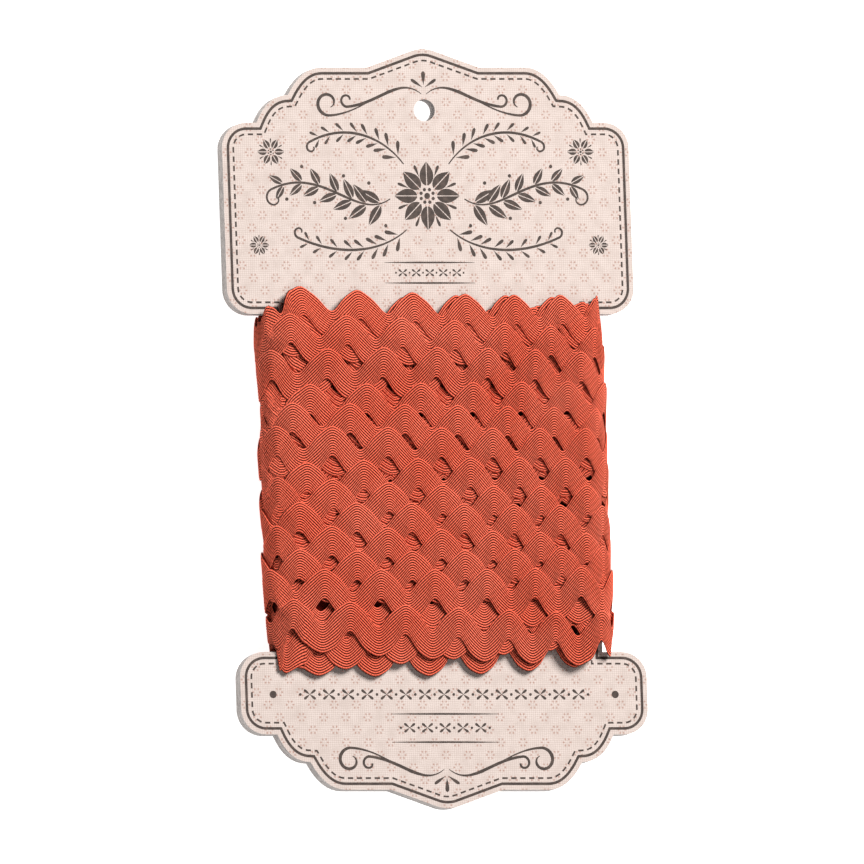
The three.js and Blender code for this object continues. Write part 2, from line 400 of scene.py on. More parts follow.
@dataclass(frozen=True)
class Waist:
    """The path of a turn round the card's waist, and the card's edges that it must pass.

    A place is given by s, the way round from the front's left end, by v, the height up the card,
    and by h, how far the point lies over the card on the front. Round the sides the same h takes
    less room, as the braid is pulled tight over the card's edges.
    """

    flat_half: float = 28.5
    inner_bulge: float = 4.8
    outer_bulge: float = 6.5
    inner_half_depth: float = 1.6
    half_depth: float = 5.5
    inner_square: float = 0.33
    tuck_start: float = 0.32
    tuck_end: float = 0.42
    top_edge: float = 22.35
    bottom_edge: float = -43.6
    edge_room: float = 0.45
    knee: float = 3.6

    @property
    def full_height(self) -> float:
        """The room between the card's face and the outermost wrap."""
        return self.half_depth - self.inner_half_depth

    @property
    def front(self) -> float:
        """The length of the flat front."""
        return 2 * self.flat_half

    @property
    def side(self) -> float:
        """The length of one rounded side, as half an ellipse's outline."""
        return math.pi * math.sqrt((self.outer_bulge**2 + self.half_depth**2) / 2)

    @property
    def length(self) -> float:
        """The length of a whole turn."""
        return 2 * (self.front + self.side)

    def place(self, s: np.ndarray, v: np.ndarray, h: np.ndarray) -> np.ndarray:
        """Turns places on the winding to points in the row frame.

        The angle turns through half a circle at each side and points out of the front or the back
        elsewhere. A point is the flat's end plus the half axes times the cosine and sine of the
        angle. The half axes grow with h from the card's own section to the outermost wrap, and the
        cosine and sine are raised to a power that is small at the card, whose corners are square,
        and 1 at the outermost wrap.

        Args:
            s: The way round, in millimetres, of any shape.
            v: The height up the card, of the same shape.
            h: The height over the card, of the same shape.

        Returns:
            Points, with the axes last.
        """
        s = np.mod(s, self.length)
        right, back, left = self.front, self.front + self.side, 2 * self.front + self.side
        angle = np.select(
            [s < right, s < back, s < left],
            [math.pi / 2 + 0 * s, math.pi / 2 - math.pi * (s - right) / self.side, -math.pi / 2 + 0 * s],
            -math.pi / 2 - math.pi * (s - left) / self.side,
        )
        x = np.select(
            [s < right, s < back, s < left],
            [s - self.flat_half, self.flat_half + 0 * s, self.flat_half - (s - back)],
            -self.flat_half,
        )
        share = h / self.full_height
        bulge = self.inner_bulge + (self.outer_bulge - self.inner_bulge) * share
        depth = self.inner_half_depth + self.full_height * share
        power = self.inner_square + (1 - self.inner_square) * np.clip(share, 0, 1)
        cosine, sine = (np.sign(c) * np.abs(c) ** power for c in (np.cos(angle), np.sin(angle)))
        v = v + self.at_side(s) * (self.tucked(v) - v)
        return np.stack([x + bulge * cosine, v, self.half_depth + depth * sine], axis=-1)

    def at_side(self, s: np.ndarray) -> np.ndarray:
        """Tells where the path passes the card's edge.

        Args:
            s: The way round.

        Returns:
            1 beside the edge and 0 over the card's faces.
        """
        start, end = self.tuck_start * self.side, self.tuck_end * self.side
        right = smoothstep(start, end, s - self.front) * smoothstep(start, end, self.front + self.side - s)
        second = 2 * self.front + self.side
        left = smoothstep(start, end, s - second) * smoothstep(start, end, self.length - s)
        return right + left

    def bell(self, s: np.ndarray, side: int) -> np.ndarray:
        """Gives cos² of the way round a side, 1 halfway: side 0 is the right and 1 the left."""
        centre = self.front + self.side / 2 + side * (self.front + self.side)
        return np.cos(math.pi * np.clip((s - centre) / self.side, -0.5, 0.5)) ** 2

    def tucked(self, v: np.ndarray) -> np.ndarray:
        """Bunches the braid under a panel's corner: past the knee it nears the edge exponentially.

        Args:
            v: Heights up the card.

        Returns:
            Heights that stay between the panels.
        """
        high = self.top_edge - self.edge_room
        low = self.bottom_edge + self.edge_room
        top = high - self.knee * np.exp(-np.maximum(v - high + self.knee, 0) / self.knee)
        bottom = low + self.knee * np.exp(-np.maximum(low + self.knee - v, 0) / self.knee)
        return np.where(v > high - self.knee, top, np.where(v < low + self.knee, bottom, v))


@dataclass(frozen=True)
class Turn:
    """One turn of braid: its crest's place in waves from the middle, and its crests' heights.

    Its skew is how many waves it falls behind from the left to the right, and its lifts are how far
    it climbs over a straight path as it rounds the right side, and then the left. Its left wave is
    the wave length with which it comes round the left side to its start.
    """

    crest: float
    left: float
    right: float
    bow: float = 0.0
    skew: float = 0.0
    right_lift: float = 0.0
    left_lift: float = 0.0
    left_wave: float = 10.4


class Detail(Enum):
    """How finely a turn's mesh is made, as its step in columns and its ribs.

    Fine is whole, and coarse is thinned, for turns that others hide almost wholly.
    """

    FINE = (1, 12)
    COARSE = (3, 6)


@dataclass(frozen=True)
class Braid:
    """The braid's own sizes: a flat woven band that bends edgeways into waves."""

    wave_height: float = 4.5
    band: float = 5.9
    roundness: float = 0.33
    sag: float = 0.08
    straightness: float = 0.07
    thickness: float = 0.82
    edge_fall: float = 0.42
    under_reach: float = 0.82
    rib_depth: float = 0.13
    rib_wall: float = 0.3
    ribs: int = 12
    wave_at_centre: float = 10.68
    wave_slope: float = -0.042
    wave_round_back: float = 10.4
    wave_at_right: float = 8.2

    def waves_at(self, x: np.ndarray) -> np.ndarray:
        """Counts waves from the middle of the card to x, where waves shorten evenly to the right."""
        return np.log((self.wave_at_centre + self.wave_slope * x) / self.wave_at_centre) / self.wave_slope

    def crown(self, r: np.ndarray) -> np.ndarray:
        """Gives the thickness at r, from -1 to 1 across the band: it falls with r^6 to the edges."""
        return self.thickness * (1 - self.edge_fall * np.abs(r) ** 6)

    def section(self, ribs: int) -> tuple[np.ndarray, np.ndarray, np.ndarray]:
        """Gives a closed section, from the lower edge over the ribbed top and back underneath.

        Args:
            ribs: How many ribs it shows.

        Returns:
            Places across the band, heights over its underside, and places in ribs of the real count.
        """
        places = np.arange(ribs)[:, None] + np.array([0.0, self.rib_wall, 1 - self.rib_wall])
        r = np.append(places.ravel(), ribs) / ribs * 2 - 1
        rib = np.append(np.tile([-0.5, 0.5, 0.5], ribs), -0.5)
        top = self.crown(r) + rib * self.rib_depth * self.ribs / ribs
        top[[0, -1]] = 0.5 * self.thickness * (1 - self.edge_fall)
        under = np.array([self.under_reach, 0.0, -self.under_reach])
        across = (r + 1) / 2 * self.ribs
        return (np.concatenate([r, under]), np.concatenate([top, np.zeros(3)]),
                np.concatenate([across, (under + 1) / 2 * self.ribs]))


@dataclass
class Winding:
    """All turns of braid, each laid on what is under it.

    The turns lie on a core, the wraps deeper down, which is higher near the top panel, where the
    turns crowd, and ends before both panels. Round the right and the left side each turn may stand
    off by a random part of its slack.
    """

    waist: Waist = field(default_factory=Waist)
    braid: Braid = field(default_factory=Braid)
    core_height: float = 0.8
    core_bottom: float = 3.7
    core_top: float = 2.7
    core_rise: tuple[float, float] = (3.5, 6.5)
    core_fall: tuple[float, float] = (6.0, 2.5)
    core_skin: tuple[float, float] = (0.04, 0.06)
    crowding: float = 0.7
    crowded: tuple[float, float] = (10.0, 18.0)
    phase_shift: float = 0.11
    shift_lost: float = 0.08
    shift_range: tuple[float, float] = (6.0, 32.0)
    slack: tuple[float, float] = (1.8, 2.6)
    side_room: float = 2.4
    free_height: float = 9.0
    seed: int = 7
    columns: int = 420
    stations: int = 13
    grid_low: float = -56.0
    grid_high: float = 36.0
    grid_step: float = 0.25
    settle_rounds: int = 70
    pull_along: float = 0.3
    pull_across: float = 0.2
    overlap: int = 12
    packing: float = 0.62

    # The last layer but one, in the order it is wound: from the bottom up.
    under: tuple[Turn, ...] = (
        Turn(0.10, -37.0, -36.0), Turn(0.09, -37.9, -36.2, -0.9, 0.0, 6.0),
        Turn(0.58, -37.5, -32.6, 0.0, -0.05, 5.0, 0.0, 12.5), Turn(0.15, -31.5, -28.0),
        Turn(0.70, -26.2, -23.4), Turn(0.30, -20.9, -18.6), Turn(0.85, -15.5, -13.7),
        Turn(0.40, -10.2, -8.4), Turn(0.95, -4.8, -3.4),
        Turn(0.50, 0.5, 1.7), Turn(0.05, 5.9, 6.9), Turn(0.60, 11.2, 11.9), Turn(0.15, 16.5, 16.8),
        Turn(0.05, 20.6, 24.4), Turn(0.794, 24.0, 24.6, -2.0, 0.133),
        Turn(0.345, 23.5, 25.3, 1.4, 0.0, 0.0, -5.4),
    )
    # The outer layer, wound from the top down. Each turn lies on the one above it.
    outer: tuple[Turn, ...] = (
        Turn(0.49, 27.8, 25.9, -0.6, 0.0, 0.0, 0.0, 7.2), Turn(0.22, 22.2, 19.5, 0.2),
        Turn(0.85, 15.1, 14.7, 0.65), Turn(0.54, 8.4, 9.0), Turn(0.23, 4.8, 3.8, 0.1),
        Turn(0.90, 0.3, -0.2, -0.1), Turn(0.44, -6.9, -6.0, 0.5),
        Turn(0.89, -9.6, -11.3, -0.7), Turn(0.29, -14.6, -15.2, 0.1), Turn(0.84, -19.1, -20.7),
        Turn(0.27, -23.8, -23.0, -0.65), Turn(0.68, -27.6, -27.3, -0.25),
        Turn(0.12, -33.5, -36.2, -0.2, 0.0, 2.2),
    )
    tail: Turn = Turn(0.60, -36.5, -36.5)

    def __post_init__(self) -> None:
        """Works out the whole length of the braid, and lays it down."""
        self.turns = self.under + self.outer
        self.step = self.waist.length / self.columns
        self.follow()
        self.settle()

    def follow(self) -> None:
        """Works out the braid's middle line, half height and phase at every column.

        On the front the crests lie on a line from left to right, and the phase is the count of waves
        to x. From the front's right end round the back, both run smoothly to where the next turn
        starts, the phase on a cubic whose first and last wave lengths are the braid's there.
        """
        braid, waist = self.braid, self.waist
        crests, phases = [], []
        s = np.arange(self.columns) * self.step
        front = s < waist.front
        across = np.clip(s / waist.front, 0, 1)
        rest = waist.length - waist.front
        u = np.clip((s - waist.front) / rest, 0, 1)
        ends = self.waves(np.array([-waist.flat_half, waist.flat_half]))
        for turn, after in zip(self.turns, self.turns[1:] + (self.tail,)):
            on_front = turn.left + (turn.right - turn.left) * across + 4 * turn.bow * across * (1 - across)
            behind = turn.right + (after.left - turn.right) * smoothstep(0, 1, u)
            behind += turn.right_lift * waist.bell(s, 0) + turn.left_lift * waist.bell(s, 1)
            crests.append(np.where(front, on_front, behind))
            leaves, arrives = ends[1] - turn.crest - turn.skew, ends[0] - after.crest
            share = (arrives - leaves) % 1
            count = share + round(rest / braid.wave_round_back - share)
            first, last = rest / braid.wave_at_right - count, rest / after.left_wave - count
            bend = first * u * (1 - u) ** 2 - last * u**2 * (1 - u)
            x = np.clip(s - waist.flat_half, -waist.flat_half, waist.flat_half)
            seen = self.waves(x) - turn.crest - turn.skew * across
            phases.append(np.where(front, seen, leaves + count * u + bend))
        crest, phase = np.concatenate(crests), 2 * math.pi * np.concatenate(phases)
        self.s = np.arange(len(crest)) * self.step
        wave = (np.cos(phase) + braid.straightness * np.cos(3 * phase)) / (1 + braid.straightness)
        flank = braid.wave_height / 2 * np.sin(phase) ** 2
        self.middle = crest - braid.band / 2 - braid.wave_height / 2 * (1 - wave) - braid.sag * flank
        self.half = braid.band / 2 + braid.roundness * flank

    def waves(self, x: np.ndarray) -> np.ndarray:
        """Counts the outer layer's waves from the middle to x, a little behind at the left."""
        late = self.phase_shift - self.shift_lost * smoothstep(*self.shift_range, x)
        return self.braid.waves_at(x) - late

    def core(self, v: np.ndarray) -> np.ndarray:
        """Gives the height of the inner wraps, which fall away near the panels.

        Args:
            v: Heights up the card.

        Returns:
            Heights over the card.
        """
        inside = smoothstep(*(self.waist.bottom_edge + rise for rise in self.core_rise), v)
        outside = smoothstep(*(self.waist.top_edge - fall for fall in self.core_fall), v)
        height = self.core_height + self.crowding * smoothstep(*self.crowded, v)
        return height * inside * (1 - outside)

    def settle(self) -> None:
        """Lays the braid half a turn at a time on a map of heights.

        The underside of a stretch starts on the map. Again and again each point takes the mean of its
        neighbours, but never less than the map, which draws the band taut over what it crosses. Then
        the map is raised to the band's top. A stretch starts with the last columns of the one before.
        """
        waist, n = self.waist, self.columns
        v = np.arange(self.grid_low, self.grid_high, self.grid_step)
        heights = np.tile(self.core(v), (n, 1))
        r = np.linspace(-1, 1, self.stations)
        total = len(self.s)
        self.under_height = np.zeros((total, self.stations))
        marks = [0]
        for i in range(len(self.turns)):
            marks.append(round((i * waist.length + waist.front + waist.side / 2) / self.step))
            marks.append(round(((i + 1) * waist.length - waist.side / 2) / self.step))
        marks[-1] = total
        slack = np.random.default_rng(self.seed).uniform(0, 1, (2, len(marks)))
        slack *= np.array(self.slack)[:, None]
        held = None
        for start, end in zip(marks, marks[1:]):
            columns = np.arange(start, min(end + self.overlap, total))
            rows = self.middle[columns, None] + self.half[columns, None] * r - self.grid_low
            rows /= self.grid_step
            below = np.clip(rows.astype(int), 0, len(v) - 2)
            part = rows - below
            at = columns[:, None] % n
            floor = heights[at, below] * (1 - part) + heights[at, below + 1] * part
            lies = floor.copy()
            for _ in range(self.settle_rounds):
                wide = np.pad(lies, 1, mode="edge")
                along, across = wide[:-2, 1:-1] + wide[2:, 1:-1], wide[1:-1, :-2] + wide[1:-1, 2:]
                lies = np.maximum(floor, self.pull_along * along + self.pull_across * across)
                if held is not None:
                    lies[: len(held)] = held
            around = self.s[columns] % waist.length
            loose = sum(slack[side, marks.index(start)] * waist.bell(around, side) for side in (0, 1))
            self.under_height[columns] = lies + loose[:, None]
            held = lies[end - start :][: self.overlap].copy()
            self.raise_map(heights, v, columns[: end - start], lies[: end - start])

    def raise_map(self, heights: np.ndarray, v: np.ndarray, columns: np.ndarray, lies: np.ndarray) -> None:
        """Raises the map of heights to the top of a stretch of braid that has been laid.

        Args:
            heights: The map, one row a column of the winding.
            v: The heights up the card of the map's cells.
            columns: The stretch's columns, counted along the whole braid.
            lies: The underside of the stretch at its stations.
        """
        r = (v - self.middle[columns, None]) / self.half[columns, None]
        inside = np.abs(r) <= 1
        place = np.clip((r + 1) / 2 * (self.stations - 1), 0, self.stations - 1.001)
        low = place.astype(int)
        part = place - low
        rows = np.arange(len(columns))[:, None]
        top = lies[rows, low] * (1 - part) + lies[rows, low + 1] * part
        top = top + self.packing * self.braid.crown(np.clip(r, -1, 1))
        at = columns % self.columns
        heights[at] = np.where(inside, np.maximum(heights[at], top), heights[at])

    def stretch(self, first: int, last: int, detail: Detail) -> tuple[np.ndarray, list, np.ndarray]:
        """Makes the mesh of some whole turns as a tube of closed sections, capped at both ends.

        The braid itself starts and ends in the middle of the back, under other turns.

        Args:
            first: The first turn.
            last: The turn after the last one.
            detail: How fine it is.

        Returns:
            Points, faces and the map of each point along and across the braid.
        """
        skip, ribs = detail.value
        r, lift, across = self.braid.section(ribs)
        behind = round((1.5 * self.waist.front + self.waist.side) / self.step)
        start = max(first * self.columns, behind)
        end = min(last * self.columns, len(self.s) - self.columns + behind)
        columns = np.arange(start, end + 1, skip)
        stations = np.linspace(-1, 1, self.stations)
        weights = np.maximum(0, 1 - np.abs(r[:, None] - stations) / (stations[1] - stations[0]))
        base = self.under_height[columns] @ weights.T
        v = self.middle[columns, None] + self.half[columns, None] * r
        s = np.broadcast_to(self.s[columns, None], v.shape)
        h = np.minimum(base + lift, self.press(s))
        points = self.waist.place(s, v, h).reshape(-1, 3)
        uv = np.stack([s, np.broadcast_to(across, v.shape)], axis=-1).reshape(-1, 2)
        return points, tube_faces(len(columns), len(r)), uv

    def press(self, s: np.ndarray) -> np.ndarray:
        """Gives the greatest height: the floor stops the back, and the front is free.

        Args:
            s: The way round.

        Returns:
            Heights over the card, with some more room round the sides.
        """
        s = np.mod(s, self.waist.length)
        start = self.waist.front + self.waist.side / 2
        behind = (s > start) & (s < start + self.waist.front + self.waist.side)
        room = self.side_room * (self.waist.bell(s, 0) + self.waist.bell(s, 1))
        return np.where(behind, self.waist.full_height + room, self.free_height)

    def core_mesh(self) -> tuple[np.ndarray, list, np.ndarray]:
        """Makes the inner wraps as one closed ring that lies on the card, with waves in its map.

        Returns:
            Points, faces and the map of each point along and across the braid.
        """
        v = np.linspace(self.waist.bottom_edge + self.core_bottom, self.waist.top_edge - self.core_top, 90)
        s = np.arange(0, self.waist.length, 1.0)
        inner, skin = self.core_skin
        section_h = np.concatenate([self.core(v) + skin, np.full(len(v), inner)])
        s, v = np.meshgrid(s, np.concatenate([v, v[::-1]]), indexing="ij")
        points = self.waist.place(s, v, np.broadcast_to(section_h, v.shape)).reshape(-1, 3)
        wave = self.braid.wave_height / 2 * np.cos(2 * math.pi * s / self.braid.wave_at_centre)
        uv = np.stack([s, (v + wave) / self.braid.band * self.braid.ribs], axis=-1).reshape(-1, 2)
        return points, ring_faces(*v.shape), uv

    def build(self, material: bpy.types.Material, shaded: bpy.types.Material, slot: str) -> None:
        """Makes all pieces of the winding, which stand for its plain solid.

        Args:
            material: The finish of the turns.
            shaded: A near-black copy of the turns' finish, painted shade for the wraps under them.
            slot: The record's material slot.
        """
        fine, coarse = Detail.FINE, Detail.COARSE
        count = len(self.under)
        runs = [
            ("braid_under_bottom", 0, 4, fine), ("braid_under_middle", 4, count - 4, coarse),
            ("braid_under_top", count - 4, count, fine), ("braid_outer_top", count, count + 5, fine),
            ("braid_outer_middle", count + 5, count + 9, fine),
            ("braid_outer_bottom", count + 9, len(self.turns), fine),
        ]
        points, faces, uv = self.core_mesh()
        # The inner wraps take the near-black copy of the finish, painted shade.
        pieces = [make_piece("braid_inner_wraps", points, faces, shaded, slot, uv)]
        for name, first, last, detail in runs:
            points, faces, uv = self.stretch(first, last, detail)
            pieces.append(make_piece(name, points, faces, material, slot, uv, smooth=False))
        for piece in pieces:
            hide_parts("winding")


def tube_faces(columns: int, around: int) -> list:
    """Lists the faces of a tube of closed sections, with a cap at each end.

    Args:
        columns: How many sections it has.
        around: How many points a section has.

    Returns:
        Quads, and then the two caps.
    """
    here = np.arange(columns - 1)[:, None] * around + np.arange(around)
    beside = np.arange(columns - 1)[:, None] * around + (np.arange(around) + 1) % around
    quads = np.stack([here, here + around, beside + around, beside], axis=-1).reshape(-1, 4).tolist()
    last = (columns - 1) * around
    return quads + [list(range(around)), list(range(last, last + around))[::-1]]


def ring_faces(columns: int, around: int) -> list:
    """Lists the faces of a ring of closed sections.

    Args:
        columns: How many sections it has.
        around: How many points a section has.

    Returns:
        Quads.
    """
    here = np.arange(columns)[:, None] * around + np.arange(around)
    beside = np.arange(columns)[:, None] * around + (np.arange(around) + 1) % around
    ahead = (here + around) % (columns * around)
    ahead_beside = (beside + around) % (columns * around)
    return np.stack([here, ahead, ahead_beside, beside], axis=-1).reshape(-1, 4).tolist()


@dataclass
class CardOutline:
    """The card's stepped outline, as the die cuts it."""

    half_height: float = 74.1
    half_width: float = 41.5
    waist_half: float = 32.6
    top_edge: float = 22.35
    bottom_edge: float = -43.6
    corner: float = 5.0
    shoulder_y: float = 59.7
    outer_notch_x: float = 34.3
    outer_lobe_x: float = 32.0
    lobe_y: float = 65.1
    inner_notch_x: float = 27.7
    inner_lobe_x: float = 24.8
    ledge_x: float = 20.7
    ledge_y: float = 70.5
    ledge_end_x: float = 11.4
    slope_top_x: float = 2.3
    slope_top_y: float = 73.7

    def quarter(self, panel_edge: float) -> np.ndarray:
        """Gives the right half of an end, from the corner at the waist round to the point.

        Args:
            panel_edge: How far from the middle the panel starts.

        Returns:
            Points, as for the upper end.
        """
        cx, top = self.half_width - self.corner, self.shoulder_y - self.corner
        parts = [
            np.array([[self.waist_half, panel_edge]]),
            arc((cx, panel_edge + self.corner), self.corner, -90, 0),
            arc((cx, top), self.corner, 0, 90),
            quadratic((self.outer_notch_x, self.shoulder_y), (self.outer_lobe_x, self.lobe_y),
                      (self.inner_notch_x, self.lobe_y)),
            quadratic((self.inner_notch_x, self.lobe_y), (self.inner_lobe_x, self.ledge_y),
                      (self.ledge_x, self.ledge_y))[1:],
            np.array([[self.ledge_end_x, self.ledge_y]]),
            quadratic((self.slope_top_x, self.slope_top_y), (self.slope_top_x / 2, self.half_height),
                      (0, self.half_height)),
        ]
        return np.concatenate(parts)

    def points(self) -> np.ndarray:
        """Gives the whole outline anticlockwise, each point once."""
        top, bottom = self.quarter(self.top_edge), self.quarter(-self.bottom_edge)
        flip_x, flip_y = np.array([-1, 1]), np.array([1, -1])
        return np.concatenate([top, (top * flip_x)[::-1][1:], bottom * -1, (bottom * flip_y)[::-1][1:]])

    def inset(self, distance: float) -> np.ndarray:
        """Gives the outline moved inwards, each corner along its mitre.

        Args:
            distance: How far its sides move.

        Returns:
            Its points, in the outline's order.
        """
        p = self.points()
        ahead = np.roll(p, -1, axis=0) - p
        ahead /= np.linalg.norm(ahead, axis=1, keepdims=True)
        normal = np.stack([-ahead[:, 1], ahead[:, 0]], axis=1)
        before = np.roll(normal, 1, axis=0)
        mitre = (normal + before) / (1 + (normal * before).sum(1, keepdims=True))
        return p + distance * mitre


def arc(centre: tuple[float, float], radius: float, start: float, end: float,
        steps: int = 14) -> np.ndarray:
    """Gives points on a circle's arc, its angles in degrees."""
    a = np.radians(np.linspace(start, end, steps))
    return np.array(centre) + radius * np.stack([np.cos(a), np.sin(a)], axis=1)


def quadratic(a: tuple, b: tuple, c: tuple, steps: int = 12) -> np.ndarray:
    """Gives points on a curve, as (1-t)²a + 2t(1-t)b + t²c.

    Args:
        a: Its start.
        b: The point that pulls it.
        c: Its end.
        steps: How many points it has.

    Returns:
        The points.
    """
    t = np.linspace(0, 1, steps)[:, None]
    a, b, c = np.array(a), np.array(b), np.array(c)
    return (1 - t) ** 2 * a + 2 * t * (1 - t) * b + t**2 * c


def cubic(a: tuple, b: tuple, c: tuple, d: tuple, steps: int = 24) -> np.ndarray:
    """Gives points on a curve, as (1-t)³a + 3t(1-t)²b + 3t²(1-t)c + t³d.

    Args:
        a: Its start.
        b: The point that it sets out towards.
        c: The point that it comes in from.
        d: Its end.
        steps: How many points it has.

    Returns:
        The points.
    """
    t = np.linspace(0, 1, steps)[:, None]
    a, b, c, d = np.array(a), np.array(b), np.array(c), np.array(d)
    return (1 - t) ** 3 * a + 3 * t * (1 - t) ** 2 * b + 3 * t**2 * (1 - t) * c + t**3 * d


def spiral(centre: tuple[float, float], radii: tuple[float, float], angles: tuple[float, float],
           steps: int = 30) -> np.ndarray:
    """Gives points on a curl whose radius runs evenly between two values as its angle turns.

    Args:
        centre: Its middle.
        radii: Its first and last radius.
        angles: Its first and last angle, in degrees.
        steps: How many points it has.

    Returns:
        The points.
    """
    t = np.linspace(0, 1, steps)
    a = np.radians(angles[0] + (angles[1] - angles[0]) * t)
    radius = radii[0] + (radii[1] - radii[0]) * t
    return np.array(centre) + (radius * np.stack([np.cos(a), np.sin(a)])).T


def curled(line: np.ndarray, radii: tuple[float, float], turn: float, steps: int = 34) -> np.ndarray:
    """Carries a line on into a curl.

    The curl sets out the way the line ends. Its direction turns evenly and its radius runs evenly
    between two values, and its points are the running sum of radius times the turn of each step.

    Args:
        line: Points of the line.
        radii: The curl's first and last radius.
        turn: How far it turns, in degrees, anticlockwise where positive.
        steps: How many points it has.

    Returns:
        The line with its curl.
    """
    last = line[-1] - line[-2]
    t = np.linspace(0, 1, steps)
    angle = math.atan2(last[1], last[0]) + math.radians(turn) * t
    pace = (radii[0] + (radii[1] - radii[0]) * t) * math.radians(abs(turn)) / steps
    curl = np.cumsum(pace * np.stack([np.cos(angle), np.sin(angle)]), axis=1).T
    return np.concatenate([line, line[-1] + curl])


@dataclass
class Print:
    """The ink on the card's face: borders, scrolls, a garland and small ornaments.

    Each mark is a stroke, a line whose width may change along it, made as a thin closed slab that
    stands in the paper's surface.
    """

    face_z: float
    outline: CardOutline = field(default_factory=CardOutline)
    sunk: float = 0.012
    stands: float = 0.018
    layer: float = 0.0012
    border_inset: float = 1.18
    border_width: float = 0.52
    dash_inset: float = 2.28
    dash_width: float = 0.34
    dash: float = 1.08
    gap: float = 0.74
    rule_width: float = 0.28

    def __post_init__(self) -> None:
        """Starts with no marks."""
        self.points: list[np.ndarray] = []
        self.faces: list = []
        self.count = 0
        self.marks = 0

    def stroke(self, line: np.ndarray, width: np.ndarray | float, closed: bool = False) -> None:
        """Adds a stroke.

        Its sides stand half the width to each side of the line, along the mitre of its segments.

        Args:
            line: Points on the card.
            width: Its full width, one value or one a point.
            closed: Whether its end meets its start.
        """
        n = len(line)
        half = np.broadcast_to(np.asarray(width, float) / 2, (n,))
        ahead = np.roll(line, -1, axis=0) - line
        if not closed:
            ahead[-1] = ahead[-2]
        ahead /= np.maximum(np.linalg.norm(ahead, axis=1, keepdims=True), 1e-9)
        normal = np.stack([-ahead[:, 1], ahead[:, 0]], axis=1)
        before = np.roll(normal, 1, axis=0)
        if not closed:
            before[0] = normal[0]
        mitre = (normal + before) / np.maximum(1 + (normal * before).sum(1, keepdims=True), 0.4)
        left, right = line + half[:, None] * mitre, line - half[:, None] * mitre
        # Marks that cross stand at slightly different heights, so that no two faces coincide.
        low, high = self.face_z - self.sunk, self.face_z + self.stands + self.layer * (self.marks % 16)
        self.marks += 1
        ring = [(right, high), (left, high), (left, low), (right, low)]
        points = np.stack([np.column_stack([p, np.full(n, z)]) for p, z in ring], axis=1).reshape(-1, 3)
        faces = np.array(ring_faces(n, 4) if closed else tube_faces(n, 4))
        self.points.append(points)
        self.faces += (faces + self.count).tolist()
        self.count += len(points)

    def swelling(self, line: np.ndarray, places: list, widths: list) -> None:
        """Adds a stroke and its mirror image, with widths given at places from 0 to 1 along it."""
        self.mirrored(line, np.interp(np.linspace(0, 1, len(line)), places, widths))

    def mirrored(self, line: np.ndarray, width: np.ndarray | float) -> None:
        """Adds a stroke and its mirror image across the card's axis."""
        self.stroke(line, width)
        self.stroke(line * np.array([-1, 1]), width)

    def leaf(self, base: tuple[float, float], angle: float, length: float, width: float,
             mirror: bool = True) -> None:
        """Adds a plain leaf or drop: a stroke that is pointed at its base and full near its tip.

        It is as wide as 1.9 t^1.4 √(1 - t) times its width, t along it.

        Args:
            base: Its base.
            angle: Its direction, in degrees.
            length: Its length.
            width: About its full width.
            mirror: Whether its mirror image is added too.
        """
        t = np.linspace(0.0, 1.0, 14)
        a = math.radians(angle)
        line = np.array(base) + length * t[:, None] * np.array([math.cos(a), math.sin(a)])
        shape = 0.04 + 1.9 * t**1.4 * np.sqrt(np.maximum(1 - t, 0.0)) * width
        (self.mirrored if mirror else self.stroke)(line, shape)

    def veined_leaf(self, base: tuple[float, float], angle: float, length: float, width: float,
                    mirror: bool = True) -> None:
        """Adds a leaf in two halves, which leave a bare vein between them.

        Each half reaches half the width times the sine of pi t^0.8 from the vein, t along the leaf.

        Args:
            base: Its base.
            angle: Its direction, in degrees.
            length: Its length.
            width: Its full width.
            mirror: Whether its mirror image is added too.
        """
        t = np.linspace(0.02, 1.0, 14)
        a = math.radians(angle)
        ahead, side = np.array([math.cos(a), math.sin(a)]), np.array([-math.sin(a), math.cos(a)])
        reach = np.maximum(width / 2 * np.sin(math.pi * t**0.8), 0.03)
        for way in (1, -1):
            line = np.array(base) + length * t[:, None] * ahead + way * (0.08 + reach / 2)[:, None] * side
            (self.mirrored if mirror else self.stroke)(line, reach)

    def dot(self, centre: tuple[float, float], radius: float, mirror: bool = True) -> None:
        """Adds a round dot: a short stroke whose width follows a circle.

        Args:
            centre: Its middle.
            radius: Its radius.
            mirror: Whether its mirror image is added too.
        """
        t = np.linspace(-0.995, 0.995, 14)
        line = np.array(centre) + np.stack([radius * t, 0 * t], axis=1)
        (self.mirrored if mirror else self.stroke)(line, 2 * radius * np.sqrt(1 - t**2))

    def borders(self) -> None:
        """Adds the solid border and the dashed line inside it."""
        self.stroke(self.outline.inset(self.border_inset), self.border_width, closed=True)
        loop = self.outline.inset(self.dash_inset)
        loop = np.concatenate([loop, loop[:1]])
        along = np.concatenate([[0], np.cumsum(np.linalg.norm(np.diff(loop, axis=0), axis=1))])
        count = round(along[-1] / (self.dash + self.gap))
        for start in np.arange(count) * along[-1] / count:
            end = start + self.dash
            at = np.concatenate([[start], along[(along > start) & (along < end)], [end]])
            dash = np.stack([np.interp(at, along, loop[:, k]) for k in (0, 1)], axis=1)
            self.stroke(dash, self.dash_width)

